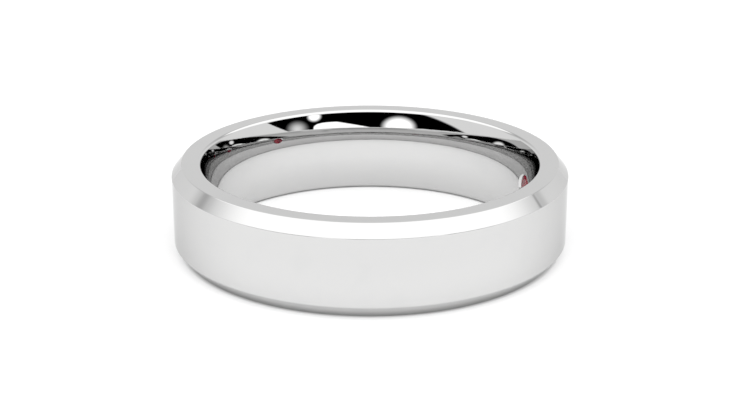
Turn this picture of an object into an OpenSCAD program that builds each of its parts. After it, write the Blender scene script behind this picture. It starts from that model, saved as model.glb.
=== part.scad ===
// Wedding band: a flat-faced court band with bevelled shoulders and a comfort-fit inside,
// with one small round ruby set flush in the inner wall.
// The band lies on one flat rim: z = 0 is the surface under it, and +Z is the band's own axis.

/* [Band] */
// Finger hole diameter at its narrowest, half way up the band
finger_d = 18.1; // [15:0.1:23]
// Thickness of the metal half way up the band
wall = 1.95; // [1.9:0.05:2.6]
// Width of the band, which is its height as it lies flat
band_w = 5.0; // [4.5:0.5:6]
// How far each bevel comes in from the outer face
bevel_in = 0.55; // [0.3:0.05:0.7]
// How far each bevel reaches down the outer face
bevel_down = 0.66; // [0.4:0.02:1]
// Radius that breaks each sharp outer edge
edge_r = 0.06; // [0.03:0.01:0.1]

/* [Comfort fit] */
// Width of the straight land in the middle of the inner wall, where the ring size is measured
land_w = 0.5; // [0.2:0.1:0.8]
// Radius of the inner wall's rounding across the band
comfort_r = 7.0; // [6:0.5:12]
// Radius that rolls the inner wall over into the flat rim
rim_r = 0.19; // [0.15:0.01:0.3]

/* [Ruby] */
// Diameter of the ruby at its girdle
stone_d = 1.6; // [1.4:0.02:1.7]
// Where the ruby sits round the band, in degrees from +X towards +Y
stone_turn = 12; // [10:1:350]
// How far the ruby's table lies below the inner wall
stone_recess = 0.01; // [0.01:0.01:0.05]
// Table width as a share of the diameter
table_share = 0.72; // [0.6:0.01:0.76]
// Slope of the crown's main facets, in degrees
crown_slope = 20; // [18:0.5:30]
// Slope of the pavilion's main facets, in degrees
pavilion_slope = 40.75; // [39:0.25:42]
// Girdle thickness as a share of the diameter
girdle_share = 0.035; // [0.03:0.005:0.05]

/* [Ruby seat] */
// Radius of the bright-cut opening where it meets the inner wall
opening_r = 0.86; // [0.84:0.01:1]
// How far the burnished lip reaches in over the girdle
lip_cover = 0.03; // [0.02:0.01:0.05]
// Radius of the drilled hole that clears the ruby's point
drill_r = 0.4; // [0.3:0.05:0.5]

/* [Hidden] */
$fn = 96;

finger_r = finger_d / 2;
outer_r = finger_r + wall;
half_w = band_w / 2;
half_land = land_w / 2;
bevel_tilt = atan2(bevel_in, bevel_down);
arc_r = finger_r + comfort_r;
roll_z = half_w - rim_r;
roll_r = arc_r - sqrt(pow(comfort_r - rim_r, 2) - pow(roll_z - half_land, 2));
roll_from = 90;
roll_to = 180 - atan2(roll_z - half_land, arc_r - roll_r);

stone_r = stone_d / 2;
table_r = table_share * stone_r;
half_girdle = girdle_share * stone_d / 2;
crown_h = (stone_r - table_r) * tan(crown_slope);
pavilion_h = stone_r * tan(pavilion_slope);
girdle_at = finger_r + stone_recess + crown_h + half_girdle;
star_share = 0.5;
lower_share = 0.77;
facet_turn = 45;
half_turn = facet_turn / 2;
star_r = table_r * cos(half_turn) + (stone_r - table_r * cos(half_turn)) * star_share;
lower_r = stone_r * (1 - lower_share);
table_z = half_girdle + crown_h;
star_z = half_girdle + (stone_r - star_r * cos(half_turn)) * tan(crown_slope);
lower_z = -half_girdle - (stone_r - lower_r * cos(half_turn)) * tan(pavilion_slope);
culet = [0, 0, -half_girdle - pavilion_h];
drill_clear = 0.1;
drill_tip_slope = 31;

// Unit direction in the outline's plane, in degrees from the outward radius
function toward(angle) = [cos(angle), sin(angle)];

// Centre of the arc of radius r that rounds a corner between faces whose normals are at a and b
function round_centre(corner, a, b, r) = corner - r * (toward(a) + toward(b)) / (1 + cos(b - a));

// Point of the stone at radius r, turned by angle, at height z above the girdle's middle
function stone_point(r, angle, z) = [r * cos(angle), r * sin(angle), z];

// What an arc of radius r leaves outside itself between two directions
module arc_waste(centre, a, b, r) {
    reach = 3 * r;
    translate(centre) difference() {
        polygon([[0, 0], reach * toward(a), 1.5 * reach * toward((a + b) / 2), reach * toward(b)]);
        circle(r);
    }
}

// Section through the band at right angles to its run, at r along x and height from the middle along y
module band_section() {
    difference() {
        intersection() {
            polygon([
                [finger_r, -half_w], [outer_r - bevel_in, -half_w], [outer_r, bevel_down - half_w],
                [outer_r, half_w - bevel_down], [outer_r - bevel_in, half_w], [finger_r, half_w]
            ]);
            union() {
                translate([finger_r, -half_land]) square([comfort_r, land_w]);
                for (side = [-1, 1]) translate([arc_r, side * half_land]) circle(comfort_r);
            }
        }
        for (side = [0, 1]) mirror([0, side]) edge_waste();
    }
}

// What is turned away from the upper half's three edges
module edge_waste() {
    face_corner = [outer_r, half_w - bevel_down];
    rim_corner = [outer_r - bevel_in, half_w];
    arc_waste(round_centre(face_corner, 0, bevel_tilt, edge_r), 0, bevel_tilt, edge_r);
    arc_waste(round_centre(rim_corner, bevel_tilt, 90, edge_r), bevel_tilt, 90, edge_r);
    arc_waste([roll_r, roll_z], roll_from, roll_to, rim_r);
}

// Puts a shape's +Z along the ruby's radius, with its z = 0 on the band's axis
module at_stone() {
    translate([0, 0, half_w]) rotate([0, 90, stone_turn]) children();
}

// The hole that the setter drills and cuts: bright-cut mouth, lip, girdle wall, bearing and point relief
module seat() {
    girdle_top = girdle_at - half_girdle;
    girdle_low = girdle_at + half_girdle;
    lip_r = stone_r - lip_cover;
    lip_at = girdle_top - lip_cover;
    mouth_slope = (opening_r - lip_r) / (lip_at - finger_r);
    mouth_h = 0.5;
    bearing_end = girdle_low + stone_r - drill_r;
    drill_end = girdle_low + pavilion_h + drill_clear;
    rotate_extrude() polygon([
        [0, lip_at - mouth_h],
        [lip_r + mouth_h * mouth_slope, lip_at - mouth_h],
        [lip_r, lip_at],
        [stone_r, girdle_top],
        [stone_r, girdle_low],
        [drill_r, bearing_end],
        [drill_r, drill_end],
        [0, drill_end + drill_r * tan(drill_tip_slope)]
    ]);
}

module band() {
    color("gainsboro") difference() {
        translate([0, 0, half_w]) rotate_extrude() band_section();
        at_stone() seat();
    }
}

// Corners of every facet but the table, three a facet, listed anticlockwise from outside
facets = [
    for (i = [0:7])
    let (
        mid = i * facet_turn,
        left = mid - half_turn,
        right = mid + half_turn,
        table_corner = stone_point(table_r, mid, table_z),
        next_table_corner = stone_point(table_r, mid + facet_turn, table_z),
        left_star = stone_point(star_r, left, star_z),
        right_star = stone_point(star_r, right, star_z),
        left_lower = stone_point(lower_r, left, lower_z),
        right_lower = stone_point(lower_r, right, lower_z),
        girdle_top = stone_point(stone_r, mid, half_girdle),
        girdle_low = stone_point(stone_r, mid, -half_girdle)
    )
    each [
        [left_star, right_star, table_corner],
        [right_star, next_table_corner, table_corner],
        [left_star, stone_point(stone_r, left, half_girdle), girdle_top],
        [right_star, girdle_top, stone_point(stone_r, right, half_girdle)],
        [left_lower, culet, right_lower],
        [left_lower, girdle_low, stone_point(stone_r, left, -half_girdle)],
        [right_lower, stone_point(stone_r, right, -half_girdle), girdle_low]
    ]
];

// All that lies beyond the flat through a facet's corners
module beyond(corners) {
    normal = cross(corners[1] - corners[0], corners[2] - corners[0]);
    lean = acos(normal[2] / norm(normal));
    block = 4 * stone_r;
    translate(corners[0]) rotate([0, lean, atan2(normal[1], normal[0])])
        translate([-block / 2, -block / 2, 0]) cube(block);
}

// Round brilliant with its first facets ground, its table up and z = 0 half way up the girdle
module brilliant(ground) {
    if (ground == 0) {
        translate(culet) cylinder(r = stone_r, h = table_z - culet[2]);
    } else {
        difference() {
            brilliant(ground - 1);
            beyond(facets[ground - 1]);
        }
    }
}

module ruby() {
    color("crimson") at_stone() translate([0, 0, girdle_at]) mirror([0, 0, 1]) brilliant(len(facets));
}

band();
ruby();
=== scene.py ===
"""Looks of a bevelled, comfort-fit wedding band with one flush-set ruby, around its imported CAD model."""

import math

import bpy
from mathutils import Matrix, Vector


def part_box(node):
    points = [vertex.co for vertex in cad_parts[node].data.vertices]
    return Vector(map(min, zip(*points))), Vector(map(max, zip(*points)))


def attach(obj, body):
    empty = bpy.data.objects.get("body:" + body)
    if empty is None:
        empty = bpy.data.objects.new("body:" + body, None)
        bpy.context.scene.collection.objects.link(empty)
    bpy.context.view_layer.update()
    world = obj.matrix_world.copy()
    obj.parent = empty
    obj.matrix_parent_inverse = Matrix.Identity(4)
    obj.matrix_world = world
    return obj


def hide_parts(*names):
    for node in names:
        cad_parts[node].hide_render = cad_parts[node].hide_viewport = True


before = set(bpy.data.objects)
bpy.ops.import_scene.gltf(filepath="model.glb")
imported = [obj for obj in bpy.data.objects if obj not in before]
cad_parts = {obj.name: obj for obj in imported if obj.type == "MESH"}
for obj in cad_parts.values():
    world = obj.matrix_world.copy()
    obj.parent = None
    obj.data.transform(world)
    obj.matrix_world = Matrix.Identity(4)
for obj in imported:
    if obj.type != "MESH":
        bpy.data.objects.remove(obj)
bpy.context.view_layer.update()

MM = 0.001

# Driving sizes of the band, as in its CAD model
FINGER_R = 18.1 * MM / 2      # of the hole where it is narrowest
EDGE_R = 0.06 * MM            # breaks the outer edges
BEVEL_IN = 0.55 * MM
BEVEL_DOWN = 0.66 * MM
LAND_W = 0.5 * MM             # straight middle of the inner wall
COMFORT_R = 7.0 * MM          # rounding of the inner wall across the band
RIM_R = 0.19 * MM             # rolls the inner wall over into the flat rim

# The ruby and its seat, as in the CAD model
STONE_R = 0.8 * MM
STONE_TURN = math.radians(12)
STONE_RECESS = 0.01 * MM
TABLE_SHARE = 0.72            # shares are of the ruby's width
GIRDLE_SHARE = 0.035
CROWN_SLOPE = math.radians(20)
PAVILION_SLOPE = math.radians(40.75)
OPENING_R = 0.86 * MM
LIP_COVER = 0.03 * MM
DRILL_R = 0.4 * MM
DRILL_CLEAR = 0.1 * MM
DRILL_TIP_SLOPE = math.radians(31)

# Fine details that the CAD model leaves out
MOUTH_BREAK = 0.015 * MM      # breaks the edge between the inner wall and the seat's mouth
SEAT_GAP = 0.004 * MM         # keeps the seat's wall off the girdle's polished face

# How finely the band is meshed
TURNS = 720                   # steps round the band
ARC_STEPS = 24                # across the inner wall's rounding, from the middle to the roll
ROLL_STEPS = 14
EDGE_STEPS = 8                # round each outer edge
FLAT_STEPS = 4                # across the rim and across the bevel
FACE_STEPS = 2                # across half of the outer face

# The patch of inner wall that holds the seat
PATCH_COLUMNS = 18            # half width, in steps round the band
PATCH_ROWS = 13               # half height, in steps across the band
PATCH_RINGS = 10
BREAK_STEPS = 5
SOLVE_STEPS = 12

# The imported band's box. Its sides differ by microns, and the least of them keeps the new mesh inside it.
low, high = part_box("band")
OUTER_R = min(high.x, -low.x, high.y, -low.y)
HALF_W = (high.z - low.z) / 2
MID_Z = (high.z + low.z) / 2

# The section's arcs and slopes, with heights from the band's middle
ARC_CENTRE_R = FINGER_R + COMFORT_R
ROLL_Z = HALF_W - RIM_R
ROLL_R = ARC_CENTRE_R - math.sqrt((COMFORT_R - RIM_R) ** 2 - (ROLL_Z - LAND_W / 2) ** 2)
ROLL_TILT = math.asin((ROLL_Z - LAND_W / 2) / (COMFORT_R - RIM_R))
BEVEL_TILT = math.atan2(BEVEL_IN, BEVEL_DOWN)
UP = math.pi / 2


def direction(angle):
    """Unit vector in the section's plane, at angle from the outward radius."""
    return Vector((math.cos(angle), math.sin(angle)))


def arc(centre, radius, start, end, steps):
    """Points on a convex arc, each with the metal's outward normal there."""
    out = []
    for i in range(steps + 1):
        d = direction(start + (end - start) * i / steps)
        out.append((centre + radius * d, d))
    return out


def rounded(corner, a, b, radius, steps):
    """The arc that rounds a corner between two faces whose normals are at a and b."""
    centre = corner - radius * (direction(a) + direction(b)) / (1 + math.cos(b - a))
    return arc(centre, radius, a, b, steps)


def straight(start, end, normal, steps):
    """Points strictly between two others on a straight stretch."""
    return [(start.lerp(end, i / steps), normal) for i in range(1, steps)]


def inner_half():
    """Upper half of the inner wall, from the middle up to the rim: points and normals."""
    middle = [(Vector((FINGER_R, 0)), Vector((-1, 0)))]
    centre = Vector((ARC_CENTRE_R, LAND_W / 2))
    rounding = arc(centre, COMFORT_R, math.pi, math.pi - ROLL_TILT, ARC_STEPS)
    roll = arc(Vector((ROLL_R, ROLL_Z)), RIM_R, math.pi - ROLL_TILT, UP, ROLL_STEPS)
    return middle + rounding + roll[1:]


def outer_half():
    """Upper half of the outside, from the rim's inner edge down to the middle of the outer face."""
    rim_corner = Vector((OUTER_R - BEVEL_IN, HALF_W))
    face_corner = Vector((OUTER_R, HALF_W - BEVEL_DOWN))
    middle = Vector((OUTER_R, 0))
    rim_round = rounded(rim_corner, UP, BEVEL_TILT, EDGE_R, EDGE_STEPS)
    face_round = rounded(face_corner, BEVEL_TILT, 0, EDGE_R, EDGE_STEPS)
    rim = straight(Vector((ROLL_R, HALF_W)), rim_round[0][0], direction(UP), FLAT_STEPS)
    bevel = straight(rim_round[-1][0], face_round[0][0], direction(BEVEL_TILT), FLAT_STEPS)
    face = straight(face_round[-1][0], middle, direction(0), FACE_STEPS)
    return rim + rim_round + bevel + face_round + face + [(middle, direction(0))]


def flipped(points):
    """The same stretch below the band's middle, in reverse order."""
    return [(Vector((p.x, -p.y)), Vector((n.x, -n.y))) for p, n in reversed(points)]


def inner_wall(height):
    """Radius and normal of the inner wall at a height from the band's middle, within the rounding."""
    past = max(abs(height) - LAND_W / 2, 0)
    tilt = math.copysign(math.asin(past / COMFORT_R), height)
    radius = ARC_CENTRE_R - COMFORT_R * math.cos(tilt)
    return radius, Vector((-math.cos(tilt), math.sin(tilt)))


def at(angle, radius, height):
    """A point given by its angle round the band, its radius and its height from the band's middle."""
    return Vector((radius * math.cos(angle), radius * math.sin(angle), MID_Z + height))


def turned(angle, normal):
    """A normal of the section, turned to an angle round the band."""
    return Vector((normal.x * math.cos(angle), normal.x * math.sin(angle), normal.y))


def from_stone(depth, across, up):
    """A point given by its distance from the band's axis along the ruby's radius, across it and up."""
    c, s = math.cos(STONE_TURN), math.sin(STONE_TURN)
    return Vector((depth * c - across * s, depth * s + across * c, MID_Z + up))


def stone_vector(depth, across, up):
    """A direction given by the same three parts as from_stone's."""
    return from_stone(depth, across, up) - from_stone(0, 0, 0)


class Shell:
    """Vertices and faces, with a normal for each corner of each face."""

    def __init__(self):
        self.points = []
        self.faces = []
        self.normals = []

    def add(self, point):
        self.points.append(point)
        return len(self.points) - 1

    def face(self, corners, normals):
        self.faces.append(corners)
        self.normals.extend(normals)

    def ring(self, places):
        """Adds points that come with their normals, and returns their numbers and the normals."""
        points, normals = zip(*places)
        return [self.add(point) for point in points], normals

    def join(self, first, second):
        """Faces between two rings of equally many points."""
        (a, na), (b, nb) = first, second
        for m in range(len(a)):
            n = (m + 1) % len(a)
            self.face([a[m], b[m], b[n], a[n]], [na[m], nb[m], nb[n], na[n]])

    def to_object(self, name):
        mesh = bpy.data.meshes.new(name)
        mesh.from_pydata(self.points, [], self.faces)
        mesh.polygons.foreach_set("use_smooth", [True] * len(self.faces))
        mesh.update()
        mesh.normals_split_custom_set([n.normalized() for n in self.normals])
        piece = bpy.data.objects.new(name, mesh)
        bpy.context.scene.collection.objects.link(piece)
        return piece


def seat_outline():
    """Half outline of the seat from its lip to its tip: (radius, distance from the band's axis)."""
    crown_h = STONE_R * (1 - TABLE_SHARE) * math.tan(CROWN_SLOPE)
    girdle_top = FINGER_R + STONE_RECESS + crown_h
    girdle_low = girdle_top + GIRDLE_SHARE * 2 * STONE_R
    wall_r = STONE_R + SEAT_GAP
    drill_end = girdle_low + STONE_R * math.tan(PAVILION_SLOPE) + DRILL_CLEAR
    return [
        Vector((STONE_R - LIP_COVER, girdle_top - LIP_COVER - SEAT_GAP)),
        Vector((wall_r, girdle_top)),
        Vector((wall_r, girdle_low)),
        Vector((DRILL_R, girdle_low + wall_r - DRILL_R)),
        Vector((DRILL_R, drill_end)),
        Vector((0, drill_end + DRILL_R * math.tan(DRILL_TIP_SLOPE))),
    ]


def facing(start, end):
    """Normal of a stretch of the seat's outline."""
    run = end - start
    return Vector((-run.y, run.x)).normalized()


def round_stone(turn, point):
    """A point of the seat's outline, turned round the ruby's own axis."""
    return from_stone(point.y, point.x * math.cos(turn), point.x * math.sin(turn))


def seat_normal(turn, normal):
    """A normal of the seat's outline, turned round the ruby's own axis."""
    return stone_vector(normal.y, normal.x * math.cos(turn), normal.x * math.sin(turn))


def on_wall(turn, radius):
    """Point and normal of the inner wall at a radius from the ruby's axis, in the direction turn."""
    across, up = radius * math.cos(turn), radius * math.sin(turn)
    wall_r, normal = inner_wall(up)
    angle = STONE_TURN + math.asin(across / wall_r)
    return at(angle, wall_r, up), turned(angle, normal)


def mouth_point(turn, slope, lip):
    """Where the seat's mouth meets the inner wall, in the direction turn: (radius, distance)."""
    radius = OPENING_R
    for _ in range(SOLVE_STEPS):
        across, up = radius * math.cos(turn), radius * math.sin(turn)
        wall_r, _ = inner_wall(up)
        depth = math.sqrt(wall_r ** 2 - across ** 2)
        radius = lip.x + slope * (lip.y - depth)
    return radius, depth


def mouth_break(turn, mouth, slope, share):
    """Point and normal a share of the way over the broken edge, from the inner wall into the mouth."""
    radius, depth = mouth
    cone = Vector((-1, -slope)).normalized()
    start, wall_normal = on_wall(turn, radius + MOUTH_BREAK)
    corner = round_stone(turn, Vector((radius, depth)))
    end = round_stone(turn, Vector((radius + MOUTH_BREAK * cone.y, depth - MOUTH_BREAK * cone.x)))
    point = start * (1 - share) ** 2 + corner * 2 * share * (1 - share) + end * share ** 2
    return point, wall_normal.lerp(seat_normal(turn, cone), share).normalized()


def add_mouth(shell, edge, slope, lip):
    """Fills the patch from its edge to the end of the mouth's broken edge, and returns that end's points."""
    numbers, turns, edge_radii = zip(*edge)
    mouths = [mouth_point(turn, slope, lip) for turn in turns]
    rings = [(numbers, [on_wall(turn, radius)[1] for turn, radius in zip(turns, edge_radii)])]
    for k in range(1, PATCH_RINGS + 1):
        share = k / PATCH_RINGS
        radii = [far + (near + MOUTH_BREAK - far) * share for far, (near, _) in zip(edge_radii, mouths)]
        rings.append(shell.ring(on_wall(turn, radius) for turn, radius in zip(turns, radii)))
    for k in range(1, BREAK_STEPS + 1):
        share = k / BREAK_STEPS
        rings.append(shell.ring(mouth_break(turn, m, slope, share) for turn, m in zip(turns, mouths)))
    for first, second in zip(rings, rings[1:]):
        shell.join(first, second)
    return rings[-1][0]


def add_seat(shell, edge):
    """Fills the patch. Each point of its edge is given as (number in the shell, turn, radius)."""
    outline = seat_outline()
    lip = outline[0]
    slope = (OPENING_R - lip.x) / (lip.y - FINGER_R)
    last = add_mouth(shell, edge, slope, lip)
    turns = [turn for _, turn, _ in edge]
    # each stretch of the outline makes a cone or a cylinder, with a sharp edge to the next
    stretch_normals = [Vector((-1, -slope)).normalized()]
    stretch_normals += [facing(start, end) for start, end in zip(outline, outline[1:])]
    for end, stretch_normal in zip(outline[:-1], stretch_normals):
        normals = [seat_normal(turn, stretch_normal) for turn in turns]
        numbers = [shell.add(round_stone(turn, end)) for turn in turns]
        shell.join((last, normals), (numbers, normals))
        last = numbers
    tip = shell.add(round_stone(0, outline[-1]))
    normals = [seat_normal(turn, stretch_normals[-1]) for turn in turns]
    for m in range(len(last)):
        n = (m + 1) % len(last)
        shell.face([last[m], tip, last[n]], [normals[m], normals[m], normals[n]])


def patch_edge(row_low, row_high):
    """Columns and rows of the patch's edge, anticlockwise seen from the band's axis outwards."""
    left, right = -PATCH_COLUMNS, PATCH_COLUMNS
    edge = [(right, i) for i in range(row_low, row_high)]
    edge += [(j, row_high) for j in range(right, left, -1)]
    edge += [(left, i) for i in range(row_high, row_low, -1)]
    edge += [(j, row_low) for j in range(left, right)]
    return edge


def make_band():
    """The section turned right round, but for the patch, which is filled with the seat."""
    inner = inner_half()
    outer = outer_half()
    section = flipped(inner)[:-1] + inner + outer + flipped(outer)[1:]
    middle = len(inner) - 1
    row_low, row_high = middle - PATCH_ROWS, middle + PATCH_ROWS
    angles = [STONE_TURN + 2 * math.pi * j / TURNS for j in range(TURNS)]

    def in_patch(j, i, first):
        """Whether a point, with first = 1, or the face from it on, with first = 0, is within the patch."""
        column = (j + PATCH_COLUMNS) % TURNS
        return first <= column < 2 * PATCH_COLUMNS and row_low + first <= i < row_high

    shell = Shell()
    grid = {}
    for j, angle in enumerate(angles):
        for i, (point, _) in enumerate(section):
            if not in_patch(j, i, 1):
                grid[j, i] = shell.add(at(angle, point.x, point.y))
    for j in range(TURNS):
        k = (j + 1) % TURNS
        for i in range(len(section)):
            n = (i + 1) % len(section)
            if not in_patch(j, i, 0):
                corners = [(j, i), (j, n), (k, n), (k, i)]
                normals = [turned(angles[column], section[row][1]) for column, row in corners]
                shell.face([grid[corner] for corner in corners], normals)

    edge = []
    for j, i in patch_edge(row_low, row_high):
        point = section[i][0]
        across = point.x * math.sin(angles[j % TURNS] - STONE_TURN)
        edge.append((grid[j % TURNS, i], math.atan2(point.y, across), math.hypot(point.y, across)))
    add_seat(shell, edge)
    return shell.to_object("band_polished")


class Graph:
    """Adds nodes to a shader tree, each already linked to what feeds it."""

    def __init__(self, tree):
        self.tree = tree

    def node(self, kind, **values):
        made = self.tree.nodes.new(kind)
        for key, value in values.items():
            setattr(made, key, value)
        return made

    def feed(self, socket, value):
        """Links a value from another node, or sets a number or a colour."""
        if isinstance(value, bpy.types.NodeSocket):
            self.tree.links.new(value, socket)
        else:
            socket.default_value = value

    def math(self, operation, *inputs):
        made = self.node("ShaderNodeMath", operation=operation)
        for socket, value in zip(made.inputs, inputs):
            self.feed(socket, value)
        return made.outputs[0]

    def product(self, first, *others):
        for other in others:
            first = self.math("MULTIPLY", first, other)
        return first

    def total(self, base, *shares):
        """base, and on top of it each value times its weight."""
        for value, weight in shares:
            base = self.math("ADD", base, self.math("MULTIPLY", value, weight))
        return base

    def length(self, first, second):
        """Length of a vector from its two parts."""
        square = self.total(self.math("MULTIPLY", first, first), (second, second))
        return self.math("SQRT", square)

    def ramp(self, value, start, end, low=0.0, high=1.0):
        """low up to start, high from end on, and smooth between; start may be above end."""
        made = self.node("ShaderNodeMapRange", interpolation_type="SMOOTHSTEP")
        names = ("Value", "From Min", "From Max", "To Min", "To Max")
        for name, given in zip(names, (value, start, end, low, high)):
            self.feed(made.inputs[name], given)
        return made.outputs["Result"]

    def split(self, vector):
        made = self.node("ShaderNodeSeparateXYZ")
        self.feed(made.inputs[0], vector)
        return made.outputs

    def join(self, x, y, z):
        made = self.node("ShaderNodeCombineXYZ")
        for socket, value in zip(made.inputs, (x, y, z)):
            self.feed(socket, value)
        return made.outputs[0]

    def place(self):
        """The shaded point in the object's own frame, in metres."""
        return self.node("ShaderNodeTexCoord").outputs["Object"]

    def noise(self, vector, scale, detail, w=None):
        """Soft noise about 0.5; scale is in features to the metre, or to the vector's own unit."""
        made = self.node("ShaderNodeTexNoise", noise_dimensions="3D" if w is None else "4D")
        self.feed(made.inputs["Vector"], vector)
        made.inputs["Scale"].default_value = scale
        made.inputs["Detail"].default_value = detail
        if w is not None:
            self.feed(made.inputs["W"], w)
        return made.outputs["Fac"]

    def mix(self, share, first, second):
        """A colour between two."""
        made = self.node("ShaderNodeMix", data_type="RGBA")
        self.feed(made.inputs["Factor"], share)
        self.feed(made.inputs["A"], first)
        self.feed(made.inputs["B"], second)
        return made.outputs["Result"]

    def bump(self, shader, height, depth):
        """Raises the surface by depth, in metres, where height is 1."""
        made = self.node("ShaderNodeBump")
        made.inputs["Distance"].default_value = depth
        self.feed(made.inputs["Height"], height)
        self.feed(shader.inputs["Normal"], made.outputs["Normal"])


def new_material(name):
    material = bpy.data.materials.new(name)
    material.use_nodes = True
    return material, Graph(material.node_tree), material.node_tree.nodes["Principled BSDF"]


def grey(value):
    return (value, value, value, 1)


def buffing_lines(graph, x, y, z, radius):
    """Noise that is fine across the band and long round it, and that closes where a turn ends."""
    across = 1 / (0.035 * MM)
    around = 5.0
    cosine = graph.math("DIVIDE", x, radius)
    sine = graph.math("DIVIDE", y, radius)
    section = graph.join(
        graph.product(radius, across),
        graph.product(z, across),
        graph.product(cosine, around),
    )
    return graph.noise(section, 1.0, 2.0, w=graph.product(sine, around))


def hairlines(graph, x, y, z):
    """Thin slanting lines, where a stretched noise crosses its middle."""
    slant = 0.4
    stretched = graph.join(
        graph.product(x, 1 / (0.9 * MM)),
        graph.product(y, 1 / (1.3 * MM)),
        graph.product(graph.total(z, (x, slant)), 1 / (0.12 * MM)),
    )
    crossing = graph.math("ABSOLUTE", graph.math("SUBTRACT", graph.noise(stretched, 1.0, 1.0), 0.5))
    return graph.ramp(crossing, 0.016, 0.005)


def near_outer_edges(graph, radius, height):
    """1 along the bevel's two edges, and little elsewhere."""
    edges = ((OUTER_R, HALF_W - BEVEL_DOWN), (OUTER_R - BEVEL_IN, HALF_W))
    face_edge, rim_edge = [
        graph.length(graph.math("SUBTRACT", radius, edge_r), graph.math("SUBTRACT", height, edge_z))
        for edge_r, edge_z in edges
    ]
    return graph.ramp(graph.math("MINIMUM", face_edge, rim_edge), 0.35 * MM, 0.05 * MM, 0.15, 1.0)


def polished_platinum():
    """Mirror-polished metal: buffing lines, faint smudges, and hairlines mostly near the outer edges."""
    material, graph, shader = new_material("polished_platinum")
    point = graph.place()
    x, y, z = graph.split(point)
    radius = graph.length(x, y)
    height = graph.math("ABSOLUTE", graph.math("SUBTRACT", z, MID_Z))

    lines = buffing_lines(graph, x, y, z, radius)
    # smudges from handling, a millimetre or two across
    smudge = graph.ramp(graph.noise(point, 1 / (1.6 * MM), 3.0), 0.5, 0.72)
    patches = graph.ramp(graph.noise(point, 1 / (0.7 * MM), 2.0), 0.5, 0.65)
    worn = graph.product(near_outer_edges(graph, radius, height), patches)
    hairline = graph.product(hairlines(graph, x, y, z), worn)

    roughness = graph.total(0.012, (lines, 0.014), (smudge, 0.02), (worn, 0.015), (hairline, 0.12))
    graph.feed(shader.inputs["Roughness"], roughness)
    clean, dulled = (0.601, 0.6, 0.598, 1), (0.592, 0.592, 0.591, 1)
    film = graph.math("MAXIMUM", smudge, hairline)
    graph.feed(shader.inputs["Base Color"], graph.mix(film, clean, dulled))
    shader.inputs["Metallic"].default_value = 1.0
    # darker than white, which holds back the extra shine at grazing angles
    shader.inputs["Specular Tint"].default_value = grey(0.78)
    graph.bump(shader, graph.math("SUBTRACT", lines, hairline), 0.0001 * MM)
    return material


def ruby_red():
    """Mostly clear red stone, with clouds of silk in its colour and polishing lines on its facets."""
    material, graph, shader = new_material("ruby_red")
    point = graph.place()
    silk = graph.ramp(graph.noise(point, 1 / (0.4 * MM), 3.0), 0.35, 0.7)
    polish = graph.noise(point, 1 / (0.03 * MM), 2.0)
    deep, cloudy = (0.52, 0.02, 0.06, 1), (0.72, 0.04, 0.1, 1)
    graph.feed(shader.inputs["Base Color"], graph.mix(silk, deep, cloudy))
    graph.feed(shader.inputs["Roughness"], graph.product(polish, 0.02))
    shader.inputs["IOR"].default_value = 1.77
    shader.inputs["Specular IOR Level"].default_value = 0.3
    shader.inputs["Transmission Weight"].default_value = 0.75
    graph.bump(shader, polish, 0.00003 * MM)
    body = graph.node("ShaderNodeVolumeAbsorption")
    body.inputs["Color"].default_value = (0.72, 0.04, 0.14, 1)
    body.inputs["Density"].default_value = 900
    output = material.node_tree.nodes["Material Output"]
    graph.feed(output.inputs["Volume"], body.outputs[0])
    return material


def make_camera():
    elevation = math.radians(19.6)
    distance = 85.3 * MM
    aim_drop = 0.5 * MM           # below the band's middle
    data = bpy.data.cameras.new("camera")
    data.sensor_width = 36
    data.lens = 73.8
    data.clip_start = 0.001
    data.clip_end = 20
    camera = bpy.data.objects.new("camera", data)
    bpy.context.scene.collection.objects.link(camera)
    centre = Vector((0, 0, MID_Z))
    camera.location = centre + distance * Vector((0, -math.cos(elevation), math.sin(elevation)))
    aim = centre - Vector((0, 0, aim_drop))
    camera.rotation_euler = (aim - camera.location).to_track_quat("-Z", "Y").to_euler()
    bpy.context.scene.camera = camera


def painted_floor_light(graph):
    """Light painted onto the floor as a glow from below: an even part in the open, painted brighter in front
    and within the band, a painted pool of the light that the band's face would throw down in front of its
    foot, and painted contact shade at its foot.
    """
    x, y, _ = graph.split(graph.place())
    away = graph.length(x, y)
    # painted light: the floor glows brighter within the band and in front of it
    inside = graph.ramp(away, 10.4 * MM, 9.9 * MM)
    front = graph.ramp(y, 10 * MM, -13 * MM)
    # painted pool of light, standing in for the light that the band's face throws down in front of its foot
    painted_throw = graph.product(graph.ramp(away, 19 * MM, 12.5 * MM), graph.ramp(away, 11 * MM, 12.5 * MM))
    painted_throw = graph.product(painted_throw, graph.ramp(y, -3 * MM, -10 * MM))
    glow = graph.total(0.245, (graph.math("MAXIMUM", inside, front), 0.175), (painted_throw, 0.06))
    # painted contact shade: the glow is darkened within 0.2 mm of the band
    painted_contact_shade = graph.node("ShaderNodeAmbientOcclusion", samples=8)
    painted_contact_shade.inputs["Distance"].default_value = 0.2 * MM
    return graph.product(painted_contact_shade.outputs["AO"], glow)


def make_floor():
    bpy.ops.mesh.primitive_circle_add(vertices=64, radius=2.0, fill_type="NGON", location=(0, 0, 0))
    floor = bpy.context.object
    floor.name = "floor"
    material, graph, shader = new_material("floor_white")
    shader.inputs["Base Color"].default_value = grey(0.62)
    shader.inputs["Roughness"].default_value = 1.0
    shader.inputs["Specular IOR Level"].default_value = 0.0
    shader.inputs["Emission Color"].default_value = grey(1.0)
    # the floor's emission is painted light and painted contact shade, not a lamp
    graph.feed(shader.inputs["Emission Strength"], painted_floor_light(graph))
    floor.data.materials.append(material)


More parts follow.
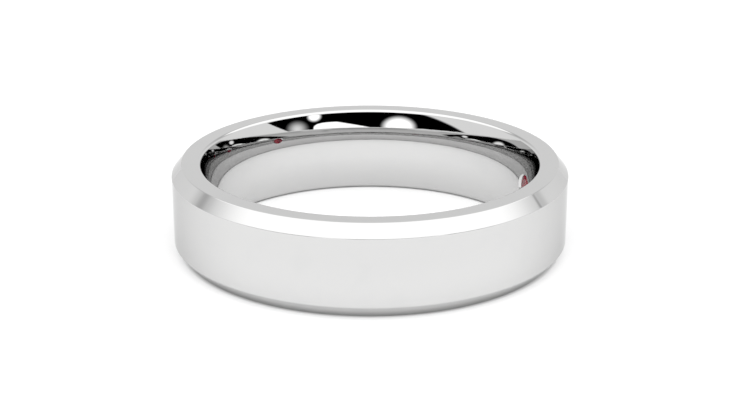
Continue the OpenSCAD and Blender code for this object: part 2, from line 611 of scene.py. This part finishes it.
class Sky(Graph):
    """The studio round the band, as light from each direction.

    Angles are in degrees. Azimuth 0 is towards -Y and +90 towards +X. Elevation is from the horizon.
    """

    def __init__(self):
        world = bpy.data.worlds.new("studio")
        world.use_nodes = True
        bpy.context.scene.world = world
        super().__init__(world.node_tree)
        x, y, z = self.split(self.node("ShaderNodeTexCoord").outputs["Generated"])
        turn = self.math("ARCTAN2", x, self.math("MULTIPLY", y, -1.0))
        self.azimuth = self.math("DEGREES", turn)
        self.cosine = self.math("COSINE", turn)
        self.sine = self.math("SINE", turn)
        self.elevation = self.math("DEGREES", self.math("ARCSINE", z))

    def offset(self, value, centre, reach):
        """How far value is from centre, as a share of reach."""
        return self.math("ABSOLUTE", self.math("DIVIDE", self.math("SUBTRACT", value, centre), reach))

    def blob(self, azimuth, elevation, half_w, half_h, soft, power=2):
        """1 inside an oval of directions and 0 outside it; soft is the share of it over which it fades."""
        across = self.math("POWER", self.offset(self.azimuth, azimuth, half_w), power)
        upwards = self.math("POWER", self.offset(self.elevation, elevation, half_h), power)
        away = self.math("POWER", self.math("ADD", across, upwards), 1 / power)
        return self.ramp(away, 1.0, 1.0 - soft)

    def below(self, azimuth, top, soft):
        """1 below a straight level edge that faces azimuth and is highest there, at elevation top."""
        turn = self.math("RADIANS", self.math("SUBTRACT", self.azimuth, azimuth))
        edge = self.math("MULTIPLY", self.math("COSINE", turn), math.tan(math.radians(top)))
        height = self.math("TANGENT", self.math("RADIANS", self.elevation))
        return self.ramp(self.math("SUBTRACT", edge, height), -soft, soft)

    def beside(self, azimuth, lean, soft):
        """1 on the -azimuth side of an edge that crosses the horizon at azimuth and leans with elevation."""
        edge = self.math("ADD", self.math("MULTIPLY", self.elevation, lean), azimuth)
        return self.ramp(self.math("SUBTRACT", edge, self.azimuth), -soft, soft)

    def over(self, base, value, mask):
        """value where mask is 1, base where it is 0."""
        rest = self.math("SUBTRACT", 1.0, mask)
        return self.math("ADD", self.math("MULTIPLY", base, rest), self.math("MULTIPLY", value, mask))

    def finish(self, light):
        background = self.tree.nodes["Background"]
        background.inputs["Color"].default_value = grey(1)
        self.feed(background.inputs["Strength"], light)


def add_lamps(sky, light):
    """Three lamps: a large low one on the left, a small one on the right, and a faint one beside that."""
    light = sky.over(light, 2.0, sky.blob(-20.8, 4.0, half_w=14.3, half_h=12.5, soft=0.5))
    light = sky.over(light, 2.0, sky.blob(40.5, 15.5, half_w=6.3, half_h=6.0, soft=0.6))
    return sky.over(light, 1.1, sky.blob(53.5, 4.5, half_w=10, half_h=9, soft=1.0))


def add_reflector(sky, light):
    """A low reflector with a slanting top, and the sliver of it that shows past its left end."""
    panel = sky.blob(24, 3, half_w=17.6, half_h=6.7, soft=0.06, power=3)
    slant = sky.math("SUBTRACT", sky.math("MULTIPLY", sky.azimuth, 0.27), sky.elevation)
    under_top = sky.ramp(slant, -3.5, -2.9)
    panel = sky.product(panel, under_top)
    sliver = sky.product(sky.ramp(sky.azimuth, 24, 22), under_top, sky.ramp(sky.azimuth, -2, 0))
    return sky.over(light, 1.8, sky.math("MAXIMUM", panel, sliver))


def add_softbox(sky, light):
    """A softbox overhead, lower at the camera's side and to the right, and its glow on the side panels."""
    height = sky.total(sky.elevation, (sky.cosine, 5.0), (sky.sine, 2.0))
    light = sky.over(light, 1.7, sky.ramp(height, 30, 35))
    aside = sky.math("ABSOLUTE", sky.azimuth)
    panels = sky.product(sky.ramp(aside, 75, 85), sky.ramp(aside, 130, 118), sky.ramp(height, 17, 21))
    return sky.over(light, sky.ramp(height, 20, 41, 0.97, 1.7), panels)


def add_gaps(sky, light):
    """The gap behind each side panel: a slit, in the shade of the panel's edge."""
    for azimuth, elevation, size, value in (
        (-117, 23, 12, 0.77),
        (-117, 23, 5, 0.62),
        (119.5, 21.8, 6, 0.84),
        (117, 23, 1.8, 0.55),
    ):
        light = sky.over(light, value, sky.blob(azimuth, elevation, size, size, soft=1.0))
    return light


def make_studio():
    sky = Sky()
    # walls of a white tent, dimmer higher up
    light = sky.ramp(sky.elevation, 16, 37, 1.09, 0.64)
    # black flag behind the camera, with a leaning right end
    flag = sky.product(sky.below(13, 27, soft=0.02), sky.beside(55.3, 1.85, soft=1.0))
    light = sky.over(light, 0.0, flag)
    light = add_lamps(sky, light)
    light = add_reflector(sky, light)
    light = add_softbox(sky, light)
    light = add_gaps(sky, light)
    sky.finish(light)


def set_view():
    view = bpy.context.scene.view_settings
    view.view_transform = "Standard"
    view.look = "None"


band = make_band()
band.data.materials.append(polished_platinum())
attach(band, "root")
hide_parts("band")

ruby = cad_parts["ruby"]
ruby.data.materials.clear()
ruby.data.materials.append(ruby_red())

make_floor()
make_studio()
make_camera()
set_view()
